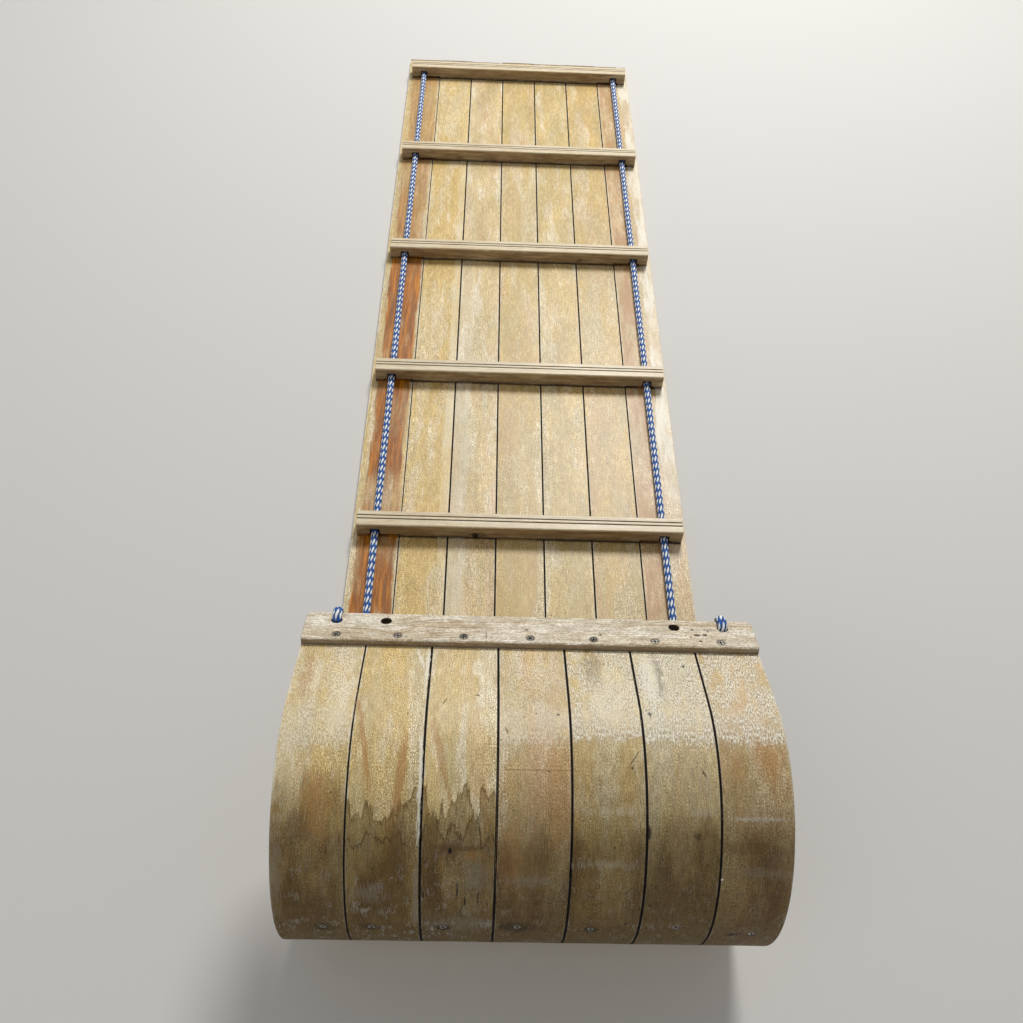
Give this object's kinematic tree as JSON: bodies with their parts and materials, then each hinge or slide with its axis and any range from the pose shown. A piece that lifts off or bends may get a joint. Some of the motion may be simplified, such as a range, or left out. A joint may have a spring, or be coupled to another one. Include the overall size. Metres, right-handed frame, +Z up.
{
  "type": "toboggan",
  "caption": "Flat-bottomed wooden sled of long boards steam-bent into a curled nose, with grooved crossbars, a pierced nose batten and a braided rope down each side.",
  "frame": {"origin": "centre of the bounding box's underside, on the running faces, midway between nose and tail", "axes": "+X across to the right as seen from the nose, +Y from the curled nose to the tail, +Z up; the rider faces -Y"},
  "size_m": [0.405, 1.622, 0.248],
  "materials": {
    "slat_wood": "worn satin varnish",
    "bar_wood": "satin varnish",
    "batten_wood": "weathered grey, bare",
    "braided_rope": "blue braid with white flecks"
  },
  "bodies": {
    "root": {"slat_1": "slat_wood", "slat_2": "slat_wood", "slat_3": "slat_wood", "slat_4": "slat_wood", "slat_5": "slat_wood", "slat_6": "slat_wood", "slat_7": "slat_wood", "crossbar_1": "bar_wood", "crossbar_2": "bar_wood", "crossbar_3": "bar_wood", "crossbar_4": "bar_wood", "crossbar_5": "bar_wood", "crossbar_6": "bar_wood", "nose_batten": "batten_wood", "front_cleat": "bar_wood", "side_rope": "braided_rope", "hitch_left": "braided_rope", "hitch_right": "braided_rope"}
  },
  "joints": []
}
